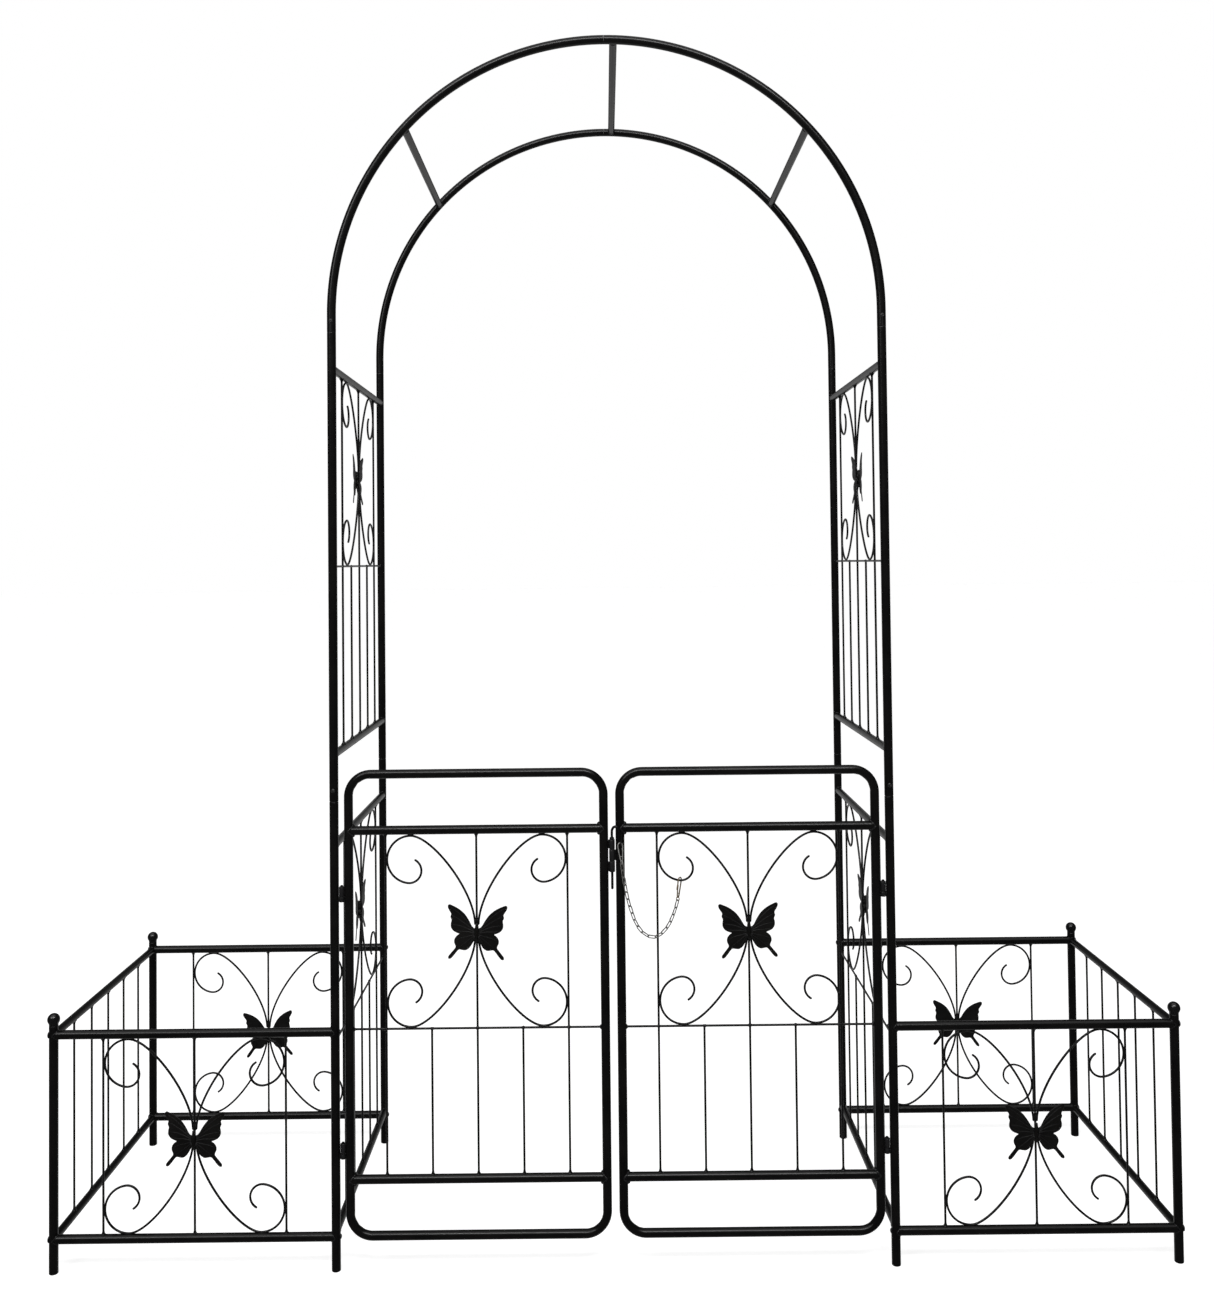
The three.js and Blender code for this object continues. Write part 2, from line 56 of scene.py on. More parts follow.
GAP = 0.0003  # between parts that don't touch
TUBE_SIDES, ROD_SIDES = 28, 12

POST_JOINT_Z = 0.825
ARCH_JOINT_Z = 1.665
SEAM_DEG = 0.012  # left open between the two halves of each arch, which meet at the top
CROSS_BARS = (("left", -47.0), ("top", 2.0), ("right", 47.8))  # degrees from the arch's top
SCREW_ABOVE_JOINT = 0.02
SUNK = 0.0006  # how far a screw's or bolt's head sits in the tube
SCREW_HEAD, OUTER_BOLT, INNER_BOLT = (0.0038, 0.0026), (0.0058, 0.0032), (0.0042, 0.0027)  # radius, height

UPPER_PANEL = {"top": 1.6, "mid": 1.244, "bottom": 0.908}
LOWER_PANEL = {"top": 0.747, "mid": 0.4, "bottom": 0.068}
PLANTER_PANEL = {"top": 0.4177, "bottom": 0.0592}
ROD_SPACING = 0.081
RAIL_HALF = DEPTH_Y - TUBE  # side rails run from post to post
RUN_IN = 0.004  # how far a rail runs on into the tube it is welded to

GATE = {"meeting": 0.0145, "hinge": 0.4692, "top": 0.8727, "upper": 0.7729, "mid": 0.4221,
        "lower": 0.1585, "bottom": 0.0599, "corner": 0.04}
HINGE = {"x": 0.482, "heights": (0.195, 0.647), "lug": 0.009, "sleeve": 0.0177,
         "radius": 0.0047, "pin": 0.0025, "bore": 0.003}
GATE_Y = -DEPTH_Y  # the leaves hang in the front plane
BEND_STEPS = 18  # of each bend in a leaf's tube
GATE_SCROLL_DROP = 0.0012  # the leaves' upper curls sit a little below the rail
KNUCKLE = {"radius": 0.0052, "bore": 0.003,
           -1: ((0.736, 0.753), (0.6955, 0.7145)), 1: ((0.715, 0.7355),)}

PLANTER_POST_TOP = 0.4345
BALL = 0.0108
BUTTERFLY_OFFSET = 0.0057  # body's axis in front of the rods
BEND_DEG = 5.0  # how far the wings bend back
# How far (m) each butterfly sits below its scrolls' middle, and its clockwise lean in degrees.
BUTTERFLY_SEATS = {
    "side_upper_left": (0.0047, 0), "side_upper_right": (0.012, 0),
    "side_lower_left": (0.005, 0), "side_lower_right": (0.005, 0),
    "planter_front_left": (0.0062, 1.1), "planter_front_right": (0.008, -0.7),
    "planter_rear_left": (0.0055, 2.9), "planter_rear_right": (-0.0022, -2.4),
    "gate_left": (0.0037, 2.2), "gate_right": (0.0054, -1.3),
}

# Radii of the curl and of its tighter inner part, the angles where it tightens and ends, and how far
# from the motif's centre the stem starts.
SCROLL = {"curl": 0.042, "inner": 0.0218, "switch": -82.0, "end": -239.0, "foot": 0.012}
WELD = 0.001  # how deep welded rods run into each other
TOUCHING = 2 * ROD - WELD  # between the middles of two rods that are welded side by side
CURL_X = 2 * ROD_SPACING - TOUCHING - SCROLL["curl"]  # middle of each curl
STEM_STEPS, CURL_STEPS, INNER_STEPS = 26, 30, 22
# Length and radius of the drops of weld.
DROP = {"curl": (0.013, 0.0023), "stem": (0.012, 0.0022), "crossing": (0.0085, 0.0027),
        "wall_rod_end": (0.0075, 0.002), "gate_rod_end": (0.0085, 0.0021),
        "butterfly_high": (0.010, 0.0024), "butterfly_low": (0.008, 0.0021),
        "gate_corner": (0.012, 0.0031), "gate_seam": (0.009, 0.0012), "latch_eye": (0.003, 0.0022)}

LATCH_Y = -0.262  # the handle's end, its eye and the hook hang in front of the leaves
EYE = {"x": 0.0145, "z": 0.7485, "radius": 0.0029, "wire": 0.0011, "turn": -60}
# The outline's outer radii, the drop between their centres and the wire's radius; the turn about the
# upright and the sideways lean in degrees; the upper centre. From there: the sleeve's lower end, axis,
# length, radius and end radius; the bar's half length, height and radius; the joining ring's height.
SNAP_HOOK = {"top": 0.0055, "bottom": 0.0027, "drop": 0.0258, "wire": 0.0008,
             "turn": 30, "tilt": -4.8, "at": (0.0145, LATCH_Y, 0.7444),
             "sleeve": ((0.0043, 0, -0.0115), (-0.11, 0, 1), 0.006, 0.0011, 0.0008),
             "bar": (0.0026, -0.0192, 0.0006), "ring_z": -0.0300}
END_CLIP = {"top": 0.006, "bottom": 0.0035, "drop": 0.0285, "wire": 0.0012,
            "turn": 52, "tilt": 6.5, "at": (0.120, -0.25, 0.6794),
            "sleeve": ((-0.0047, 0, -0.0170), (0.045, 0, 1), 0.009, 0.0017, 0.0012),
            "bar": (0.0029, -0.0230, 0.0008), "ring_z": -0.0335}
JOINING_RING = {"radius": 0.0032, "wire": 0.0008}

# The same points as the chain's in part.mjs, from the hook's ring to the clip's.
CHAIN_ROUTE = (
    (0.0169, -0.262, 0.7132), (0.0194, -0.262, 0.691), (0.0226, -0.2619, 0.6727),
    (0.027, -0.2614, 0.65), (0.0328, -0.2606, 0.6298), (0.0405, -0.2597, 0.6086),
    (0.052, -0.2587, 0.5912), (0.0655, -0.2582, 0.5829), (0.077, -0.258, 0.5826),
    (0.0885, -0.2576, 0.5898), (0.0988, -0.2568, 0.602), (0.1066, -0.2557, 0.6175),
    (0.1122, -0.254, 0.632), (0.1158, -0.2516, 0.6441),
)
LINK = {"pitch": 0.0130, "wire": 0.0009, "half_width": 0.0024, "rolls": (26, -40), "uneven": 16}

X_AXIS, Y_AXIS, Z_AXIS = Vector((1, 0, 0)), Vector((0, 1, 0)), Vector((0, 0, 1))
SIDES = (("left", -1), ("right", 1))
ENDS = (("front", -1), ("rear", 1))


def add_object(name, data):
    made = bpy.data.objects.new(name, data)
    bpy.context.collection.objects.link(made)
    return made


# ---- camera
def make_camera():
    """The photographed view: 2.3 m in front of the gate at chest height, tilted up a little."""
    focal_px, long_side = 1278.0, 1307.0
    yaw, pitch, roll = -0.00024, 0.02437, 0.01047
    place = (-0.01054, -2.54054, 1.24625)
    forward = Vector((math.sin(yaw) * math.cos(pitch), math.cos(yaw) * math.cos(pitch), math.sin(pitch)))
    right = Vector((math.cos(yaw), -math.sin(yaw), 0))
    down = forward.cross(right)
    rolled_right = math.cos(roll) * right + math.sin(roll) * down
    rolled_down = math.cos(roll) * down - math.sin(roll) * right
    data = bpy.data.cameras.new("camera")
    data.sensor_width = 36
    data.lens = data.sensor_width * focal_px / long_side
    data.shift_x = 0.0035
    data.shift_y = -0.0935
    camera = add_object("camera", data)
    turn = Matrix((rolled_right, -rolled_down, -forward)).transposed().to_4x4()
    camera.matrix_world = Matrix.Translation(place) @ turn
    bpy.context.scene.camera = camera


make_camera()


# ---- materials
class Nodes:
    """The nodes of a material or of the world."""

    def __init__(self, owner, shader="Principled BSDF", place="Object"):
        owner.use_nodes = True
        self.tree = owner.node_tree
        self.shader = self.tree.nodes[shader]
        self.place = self.tree.nodes.new("ShaderNodeTexCoord").outputs[place]

    def put(self, value, socket):
        """Links another node's socket to this one, or sets a plain number or colour."""
        if isinstance(value, bpy.types.NodeSocket):
            self.tree.links.new(value, socket)
        else:
            socket.default_value = (*value, 1) if socket.type == "RGBA" else value

    def node(self, kind, inputs, **settings):
        made = self.tree.nodes.new(kind)
        for key, value in settings.items():
            setattr(made, key, value)
        for key, value in inputs.items():
            self.put(value, made.inputs[key])
        return made

    def noise(self, scale, detail=2.0, roughness=0.5):
        return self.node("ShaderNodeTexNoise", {
            "Vector": self.place, "Scale": scale, "Detail": detail, "Roughness": roughness,
        }).outputs["Fac"]

    def remap(self, value, low, high, to_low, to_high):
        return self.node("ShaderNodeMapRange", {
            "Value": value, "From Min": low, "From Max": high, "To Min": to_low, "To Max": to_high,
        }).outputs["Result"]

    def mix(self, share, first, second):
        return self.node("ShaderNodeMix", {0: share, 6: first, 7: second}, data_type="RGBA").outputs[2]

    def bump(self, height, depth, strength, below=None):
        inputs = {"Height": height, "Distance": depth, "Strength": strength}
        if below is not None:
            inputs["Normal"] = below
        return self.node("ShaderNodeBump", inputs).outputs["Normal"]

    def feed(self, **sockets):
        for key, value in sockets.items():
            self.put(value, self.shader.inputs[key.replace("_", " ")])


DUST, RUBBED = (0.045, 0.044, 0.042), (0.03, 0.03, 0.032)  # colours


def painted_metal(name, dark, light, smooth, dull, peel, specular):
    """Sprayed and baked paint: orange peel, soft blotches of gloss, pale dust and rubbed edges."""
    material = bpy.data.materials.new(name)
    n = Nodes(material)
    blotch = n.remap(n.noise(16, 3), 0.35, 0.65, 0, 1)
    colour = n.mix(blotch, dark, light)
    dust = n.remap(n.noise(1900, 1), 0.70, 0.76, 0, 0.25)
    colour = n.mix(dust, colour, DUST)
    edge = n.node("ShaderNodeNewGeometry", {}).outputs["Pointiness"]
    rubbed = n.remap(edge, 0.53, 0.60, 0, 0.35)
    colour = n.mix(rubbed, colour, RUBBED)
    gloss = n.remap(n.noise(55, 3, 0.6), 0.3, 0.7, smooth, dull)
    fine = n.bump(n.noise(1100, 2), 0.00012, peel)
    waves = n.bump(n.noise(210, 2), 0.0004, peel * 0.6, fine)
    n.feed(Base_Color=colour, Roughness=gloss, Normal=waves, Specular_IOR_Level=specular)
    return material


def plated_wire(name, pale, dark, smooth, dull, metallic):
    """Plated wire: small crystals in the plating, dull spots and fine pits."""
    material = bpy.data.materials.new(name)
    n = Nodes(material)
    cells = n.node("ShaderNodeTexVoronoi", {"Vector": n.place, "Scale": 900.0}).outputs["Distance"]
    crystal = n.remap(cells, 0.1, 0.7, 0, 1)
    tarnish = n.remap(n.noise(260, 4, 0.6), 0.42, 0.68, 0, 1)
    colour = n.mix(tarnish, pale, dark)
    gloss = n.remap(tarnish, 0, 1, smooth, dull)
    grain = n.bump(crystal, 0.00006, 0.25)
    pits = n.bump(n.noise(2600, 2), 0.00005, 0.3, grain)
    n.feed(Base_Color=colour, Roughness=gloss, Normal=pits, Metallic=metallic)
    return material


powder_coat = painted_metal("powder_coat", dark=(0.0022, 0.0021, 0.0022), light=(0.0042, 0.0040, 0.0039),
                            smooth=0.22, dull=0.28, peel=0.06, specular=0.24)
butterfly_coat = painted_metal("butterfly_coat", dark=(0.0024, 0.0023, 0.0022),
                               light=(0.0050, 0.0046, 0.0042), smooth=0.34, dull=0.48, peel=0.30,
                               specular=0.24)
finial_black = painted_metal("finial_black", dark=(0.003, 0.003, 0.0032), light=(0.006, 0.006, 0.0062),
                             smooth=0.18, dull=0.28, peel=0.15, specular=0.4)
screw_black = painted_metal("screw_black", dark=(0.005, 0.005, 0.0055), light=(0.012, 0.012, 0.012),
                            smooth=0.25, dull=0.42, peel=0.25, specular=0.5)
zinc_steel = plated_wire("zinc_steel", pale=(0.155, 0.152, 0.145), dark=(0.09, 0.088, 0.084),
                         smooth=0.3, dull=0.45, metallic=0.4)
hook_zinc = plated_wire("hook_zinc", pale=(0.34, 0.335, 0.32), dark=(0.20, 0.197, 0.19),
                        smooth=0.25, dull=0.4, metallic=0.35)
brass_clip = plated_wire("brass_clip", pale=(0.19, 0.145, 0.09), dark=(0.11, 0.082, 0.05),
                         smooth=0.35, dull=0.5, metallic=0.35)


# ---- mesh building
class Shape:
    """Closed pieces of mesh, gathered until they become one object."""

    def __init__(self):
        self.points = []
        self.faces = []
        self.flat = []
        self.place = Matrix.Identity(4)

    def add(self, points, faces, flat=()):
        first = len(self.points)
        self.points += [self.place @ Vector(point) for point in points]
        self.flat += [len(self.faces) + i for i in flat]
        self.faces += [[first + i for i in face] for face in faces]

    def finish(self, name, material, body, nodes):
        mesh = bpy.data.meshes.new(name)
        mesh.from_pydata(self.points, [], self.faces)
        mesh.polygons.foreach_set("use_smooth", [True] * len(self.faces))
        for i in self.flat:
            mesh.polygons[i].use_smooth = False
        mesh.materials.append(material)
        mesh.validate()
        piece = add_object(name, mesh)
        if nodes:
            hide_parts(*nodes)
        if body:
            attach(piece, body)
        return piece


def rotation(degrees, axis):
    return Matrix.Rotation(math.radians(degrees), 4, axis)


def placed(x, y, turn_deg=0):
    """Where a panel's middle stands, and how far the panel is turned about the upright."""
    return Matrix.Translation((x, y, 0)) @ rotation(turn_deg, "Z")


def rings_to_faces(count, sides, closed=False):
    """Faces between rings of points. The last two are caps, unless the rings close up."""
    faces = []
    for i in range(count if closed else count - 1):
        low, high = i * sides, ((i + 1) % count) * sides
        for k in range(sides):
            next_k = (k + 1) % sides
            faces.append((low + k, low + next_k, high + next_k, high + k))
    if not closed:
        faces += [tuple(reversed(range(sides))), tuple(range((count - 1) * sides, count * sides))]
    return faces


def with_holding_rings(path, radii):
    """Adds a ring close to both ends of each long stretch, so that its shading stays straight."""
    hold, long_stretch = 0.001, 0.008
    held, held_radii = [path[0]], [radii[0]]
    for i in range(1, len(path)):
        step = path[i] - path[i - 1]
        if step.length > long_stretch:
            held += [path[i - 1] + step.normalized() * hold, path[i] - step.normalized() * hold]
            held_radii += [radii[i - 1], radii[i]]
        held.append(path[i])
        held_radii.append(radii[i])
    return held, held_radii


def sweep(shape, path, radius, sides=TUBE_SIDES, side_axis=None, closed=False, across=None, dent=None):
    """A tube along path. radius is a number, or a list with one for each point. across gives a
    sideways direction at each point, and dent(i, direction) scales the radius there."""
    path = [Vector(point) for point in path]
    radii = radius if isinstance(radius, list) else [radius] * len(path)
    if not closed:
        path, radii = with_holding_rings(path, radii)
    count = len(path)
    side = side_axis
    points = []
    for i, centre in enumerate(path):
        before = path[i - 1] if closed or i else path[0]
        after = path[(i + 1) % count] if closed or i < count - 1 else path[-1]
        along = (after - before).normalized()
        if across:
            side = across[i]
        elif side is None:
            side = along.orthogonal()
        side = (side - along * side.dot(along)).normalized()
        up = along.cross(side)
        for k in range(sides):
            turn = math.tau * k / sides
            direction = side * math.cos(turn) + up * math.sin(turn)
            scale = dent(i, direction) if dent else 1
            points.append(centre + direction * radii[i] * scale)
    faces = rings_to_faces(count, sides, closed)
    shape.add(points, faces, [] if closed else [len(faces) - 2, len(faces) - 1])


def lathe(shape, start, axis, profile, sides=TUBE_SIDES, closed=False):
    """A turned shape. profile has (distance along the axis, radius) pairs. A closed profile is a
    hollow ring."""
    start, axis = Vector(start), Vector(axis).normalized()
    side = axis.orthogonal().normalized()
    up = axis.cross(side)
    points = []
    for along, radius in profile:
        for k in range(sides):
            turn = math.tau * k / sides
            points.append(start + axis * along + (side * math.cos(turn) + up * math.sin(turn)) * radius)
    shape.add(points, rings_to_faces(len(profile), sides, closed))


def tube(shape, path, radius, chamfer=0.0007, **more):
    """A tube whose cut ends are broken a little."""
    path = [Vector(point) for point in path]
    first = (path[1] - path[0]).normalized() * chamfer
    last = (path[-2] - path[-1]).normalized() * chamfer
    whole = [path[0], path[0] + first, *path[1:-1], path[-1] + last, path[-1]]
    radii = [radius - chamfer] + [radius] * (len(whole) - 2) + [radius - chamfer]
    sweep(shape, whole, radii, **more)


def wire(shape, path, radius, sides=14, **more):
    """A wire with round ends, which reach one radius past the path."""
    steps = 4
    path = [Vector(point) for point in path]
    first = (path[1] - path[0]).normalized()
    last = (path[-1] - path[-2]).normalized()
    angles = [math.pi / 2 * (i + 0.25) / steps for i in range(steps)]
    start = [path[0] - first * radius * math.cos(angle) for angle in angles]
    end = [path[-1] + last * radius * math.cos(angle) for angle in reversed(angles)]
    grow = [radius * math.sin(angle) for angle in angles]
    sweep(shape, start + path + end, grow + [radius] * len(path) + grow[::-1], sides, **more)


def sleeve(shape, start, axis, length, radius, end_radius, sides=14):
    """A short turned collar whose ends are broken."""
    ease = 0.0004
    lathe(shape, start, axis,
          [(0, end_radius), (ease, radius), (length - ease, radius), (length, end_radius)], sides)


def arc(centre, radius, start_deg, end_deg, steps, right=X_AXIS, up=Z_AXIS):
    centre = Vector(centre)
    points = []
    for i in range(steps + 1):
        angle = math.radians(start_deg + (end_deg - start_deg) * i / steps)
        points.append(centre + right * radius * math.cos(angle) + up * radius * math.sin(angle))
    return points


def circle(centre, radius, count, right=X_AXIS, up=Z_AXIS):
    """The points of a closed circle."""
    return arc(centre, radius, 0, 360 * (count - 1) / count, count - 1, right, up)


def smooth_path(points, steps, closed=False):
    """Points on a smooth curve through the given ones."""
    points = [Vector(point) for point in points]
    count = len(points)
    made = []
    for i in range(count if closed else count - 1):
        p1, p2 = points[i], points[(i + 1) % count]
        p0 = points[i - 1] if closed or i else p1 * 2 - p2
        p3 = points[(i + 2) % count] if closed or i < count - 2 else p2 * 2 - p1
        d1, d2, d3 = (p1 - p0).length ** 0.5, (p2 - p1).length ** 0.5, (p3 - p2).length ** 0.5
        lead = ((p1 - p0) / d1 - (p2 - p0) / (d1 + d2) + (p2 - p1) / d2) * d2
        trail = ((p2 - p1) / d2 - (p3 - p1) / (d2 + d3) + (p3 - p2) / d3) * d2
        for k in range(steps):
            t = k / steps
            made.append(p1 * (2 * t**3 - 3 * t**2 + 1) + lead * (t**3 - 2 * t**2 + t)
                        + p2 * (3 * t**2 - 2 * t**3) + trail * (t**3 - t**2))
    if not closed:
        made.append(points[-1])
    return made


def lump(point, size, amount):
    """An uneven factor round 1, for hand-laid beads of weld."""
    return 1 + amount * noise.noise(Vector(point) / size)


def weld_seam(shape, centre, along, main_axis, branch, main, bead=0.0011):
    """A bead of weld around a branch tube, where it runs into the side of a main tube. centre is on
    the main tube's axis, and branch and main are the tubes' radii."""
    centre, along, main_axis = Vector(centre), Vector(along), Vector(main_axis)
    third = main_axis.cross(along)
    steps = max(12, round(branch * 4200))
    path, across = [], []
    for i in range(steps):
        turn = math.tau * i / steps
        aside = branch * math.sin(turn)
        reach = math.sqrt(max(main**2 - aside**2, 0))
        outward = main_axis * math.cos(turn) + third * math.sin(turn)
        path.append(centre + outward * branch + along * reach)
        across.append(outward + along)
    radii = [bead * lump(point, 0.0021, 0.45) for point in path]
    sweep(shape, path, radii, 8, closed=True, across=across)


def weld_spot(shape, centre, axis, length, radius):
    """A drop of weld, longer than wide."""
    centre, axis = Vector(centre), Vector(axis)
    steps = 9
    path, radii = [], []
    for i in range(steps + 1):
        t = (i + 0.15) / (steps + 0.3) * 2 - 1
        point = centre + axis * t * length / 2
        path.append(point)
        radii.append(radius * math.sqrt(1 - t * t) * lump(point, 0.0023, 0.35))
    sweep(shape, path, radii, ROD_SIDES)


def screw_head(shape, centre, direction, radius, height, recess=True):
    """A low domed head with a cross recess. centre is where its flat back sits."""
    centre, out = Vector(centre), Vector(direction).normalized()
    side = out.orthogonal().normalized()
    up = out.cross(side)
    sides, circles = 40, 11
    slot, depth, arm = 0.14 * radius, 0.5 * height, 0.58 * radius

    def rise(x, y):
        distance = math.hypot(x, y)
        dome = height * math.sqrt(max(1 - (0.93 * distance / radius) ** 2, 0))
        if not recess or distance > arm:
            return dome
        narrow = min(abs(x), abs(y))
        return dome - depth * min(max((1.5 * slot - narrow) / (0.7 * slot), 0), 1)

    points = [centre + out * rise(0, 0)]
    for ring in range(1, circles + 2):
        distance = radius * min(ring / circles, 1)
        for k in range(sides):
            turn = math.tau * k / sides
            x, y = distance * math.cos(turn), distance * math.sin(turn)
            lift = rise(x, y) if ring <= circles else 0
            points.append(centre + side * x + up * y + out * lift)
    faces = [(0, 1 + k, 1 + (k + 1) % sides) for k in range(sides)]
    for a, b, c, d in rings_to_faces(circles + 1, sides)[:-2]:
        faces.append((1 + a, 1 + d, 1 + c, 1 + b))
    faces.append(tuple(range(len(points) - 1, circles * sides, -1)))
    shape.add(points, faces, [len(faces) - 1])


# ---- chain, hook and clip
def along_line(line, distance):
    """The point at a distance along a line of points."""
    for first, second in zip(line, line[1:]):
        step = (second - first).length
        if distance <= step:
            return first + (second - first) * (distance / step)
        distance -= step
    return line[-1]


def chain_link(shape, middle, direction, roll_deg, pitch):
    """One oval link of bent wire, with its welded butt on one side."""
    side = direction.cross(Y_AXIS).normalized()
    side = Matrix.Rotation(math.radians(roll_deg), 3, direction) @ side
    normal = direction.cross(side)
    half, wire_radius = LINK["half_width"], LINK["wire"]
    straight = (pitch + 2 * wire_radius) / 2 - half
    path = []
    for end in (1, -1):
        centre = middle + direction * straight * end
        path += arc(centre, half, 0, 180, 10, side * end, direction * end)
    swelling = 1.25  # where the wire's ends are welded
    radii = [wire_radius] * (len(path) - 1) + [wire_radius * swelling]
    sweep(shape, path, radii, 9, closed=True, side_axis=normal)


def make_chain():
    """Links along the route, each turned against the one before it and a little unevenly."""
    shape = Shape()
    line = smooth_path(CHAIN_ROUTE, 12)
    length = sum((second - first).length for first, second in zip(line, line[1:]))
    count = round(length / LINK["pitch"])
    pitch = length / count
    for i in range(count):
        start, middle, end = (along_line(line, (i + share) * pitch) for share in (0, 0.5, 1))
        roll = LINK["rolls"][i % 2] + LINK["uneven"] * noise.noise(Vector((i * 0.7, 0.3, 0.1)))
        chain_link(shape, middle, (end - start).normalized(), roll, (end - start).length)
    chain = shape.finish("latch_chain_links", zinc_steel, None, ["latch_chain"])
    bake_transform(chain)
    return chain, line, length


def pear_outline(top, bottom, drop):
    """A closed line round a large upper circle and a small lower one, drop below it."""
    right = [(top * math.cos(turn), top * math.sin(turn)) for turn in (math.pi / 2, math.pi / 4, 0)]
    right += [(top * 0.97, -drop * 0.22), (top * 0.55 + bottom * 0.45, -drop * 0.6)]
    right += [(bottom * math.cos(turn), bottom * math.sin(turn) - drop)
              for turn in (0, -math.pi / 4, -math.pi / 2)]
    left = [(-x, z) for x, z in reversed(right[1:-1])]
    return smooth_path([(x, 0, z) for x, z in right + left], 6, closed=True)


def make_hook(hook, name, material, body, node):
    """A pear-shaped hook of round wire, hung from its upper end: a sleeve on one leg, a bar that closes
    off a small eye at the lower end, and a ring that ties the eye to the chain's last link."""
    shape = Shape()
    shape.place = Matrix.Translation(hook["at"]) @ rotation(hook["tilt"], "Y") @ rotation(hook["turn"], "Z")
    outline = pear_outline(hook["top"] - hook["wire"], hook["bottom"] - hook["wire"], hook["drop"])
    sweep(shape, outline, hook["wire"], ROD_SIDES, closed=True, side_axis=Y_AXIS)
    sleeve(shape, *hook["sleeve"])
    half, z, bar_radius = hook["bar"]
    wire(shape, [(-half, 0, z), (0, 0, z - 0.0005), (half, 0, z)], bar_radius, 10)
    ring = circle((0, 0, hook["ring_z"]), JOINING_RING["radius"], 18, Z_AXIS, Y_AXIS)
    sweep(shape, ring, JOINING_RING["wire"], 10, closed=True, side_axis=X_AXIS)
    return shape.finish(name, material, body, [node])


snap_hook = make_hook(SNAP_HOOK, "chain_snap_hook_wire", hook_zinc, "latch_pin",
                      "chain_snap_hook")
end_clip = make_hook(END_CLIP, "chain_end_clip_wire", brass_clip, "right_gate",
                     "chain_end_clip")
latch_chain, chain_path, chain_length = make_chain()


# ---- posts and arches
def arch_hoop(end_name, y):
    """One plane of the arch: two lower posts, two upper posts and the two halves of the bow."""
    shape = Shape()
    nodes = []
    for side_name, side in SIDES:
        x = side * ARCH_X
        tube(shape, [(x, y, 0), (x, y, 0.4), (x, y, POST_JOINT_Z)], TUBE)
        tube(shape, [(x, y, POST_JOINT_Z + GAP), (x, y, 1.25), (x, y, ARCH_JOINT_Z)], TUBE)
        start_deg, end_deg = (180, 90 + SEAM_DEG) if side < 0 else (0, 90)
        bow = arc((0, y, SPRING_Z), ARCH_RADIUS, start_deg, end_deg, 72)
        tube(shape, [(x, y, ARCH_JOINT_Z + GAP), *bow], TUBE, chamfer=0.0002, side_axis=Y_AXIS)
        corner = f"{end_name}_{side_name}"
        nodes += [f"lower_post_{corner}", f"upper_post_{corner}", f"arch_tube_{corner}"]
    shape.finish(f"arch_hoop_{end_name}", powder_coat, "root", nodes)


def joint_screws(end_name, y):
    """Screws that pin the post joints and the joints to the bow, on the outer face."""
    shape = Shape()
    nodes = []
    out = Vector((0, math.copysign(1, y), 0))
    for side_name, side in SIDES:
        for z in (POST_JOINT_Z + SCREW_ABOVE_JOINT, ARCH_JOINT_Z + SCREW_ABOVE_JOINT):
            seat = Vector((side * ARCH_X, y, z)) + out * (TUBE - SUNK)
            screw_head(shape, seat, out, *SCREW_HEAD)
        nodes.append(f"post_joint_screw_{end_name}_{side_name}")
    shape.finish(f"joint_screws_{end_name}", screw_black, "root", nodes)


def cross_bar(name, angle_deg):
    """A bar from the front bow to the rear one, with a turned collar and a weld at each end."""
    shape = Shape()
    angle = math.radians(angle_deg)
    x, z = ARCH_RADIUS * math.sin(angle), SPRING_Z + ARCH_RADIUS * math.cos(angle)
    bow_axis = Vector((math.cos(angle), 0, -math.sin(angle)))
    half = RAIL_HALF + RUN_IN
    tube(shape, [(x, -half, z), (x, 0, z), (x, half, z)], THIN_TUBE)
    for end in (-1, 1):
        lathe(shape, (x, end * RAIL_HALF, z), (0, -end, 0),
              [(-0.002, 0.0071), (0.0004, 0.0077), (0.0022, 0.0079), (0.0040, 0.0076), (0.0048, 0.0071)])
        weld_seam(shape, (x, end * DEPTH_Y, z), (0, -end, 0), bow_axis, THIN_TUBE, TUBE, 0.0007)
    shape.finish(f"cross_bar_{name}_tube", powder_coat, "root", [f"cross_bar_{name}"])


# ---- scrollwork panels
def motif_centre(upper_edge, lower_edge):
    return (upper_edge + lower_edge) / 2


def scroll_points(side, centre, reach):
    """One scroll of a motif, as points in the panel's plane: stem, curl and inner curl."""
    height = abs(reach)
    # The stem is a cubic curve that leaves the middle rod steeply and meets the curl at its top.
    a, b = Vector((TOUCHING, SCROLL["foot"])), Vector((TOUCHING + 0.002, 0.43 * height))
    c, d = Vector((0.68 * CURL_X, height)), Vector((CURL_X, height))
    flat = []
    for i in range(STEM_STEPS):
        t = i / STEM_STEPS
        s = 1 - t
        flat.append(a * s**3 + b * 3 * s * s * t + c * 3 * s * t * t + d * t**3)
    middle = Vector((CURL_X, height - SCROLL["curl"]))
    for i in range(CURL_STEPS):
        angle = math.radians(90 + (SCROLL["switch"] - 90) * i / CURL_STEPS)
        flat.append(middle + Vector((math.cos(angle), math.sin(angle))) * SCROLL["curl"])
    switch = math.radians(SCROLL["switch"])
    hub = middle + Vector((math.cos(switch), math.sin(switch))) * (SCROLL["curl"] - SCROLL["inner"])
    for i in range(INNER_STEPS + 1):
        angle = math.radians(SCROLL["switch"] + (SCROLL["end"] - SCROLL["switch"]) * i / INNER_STEPS)
        flat.append(hub + Vector((math.cos(angle), math.sin(angle))) * SCROLL["inner"])
    way = math.copysign(1, reach)
    return [Vector((side * p.x, 0, centre + way * p.y)) for p in flat]


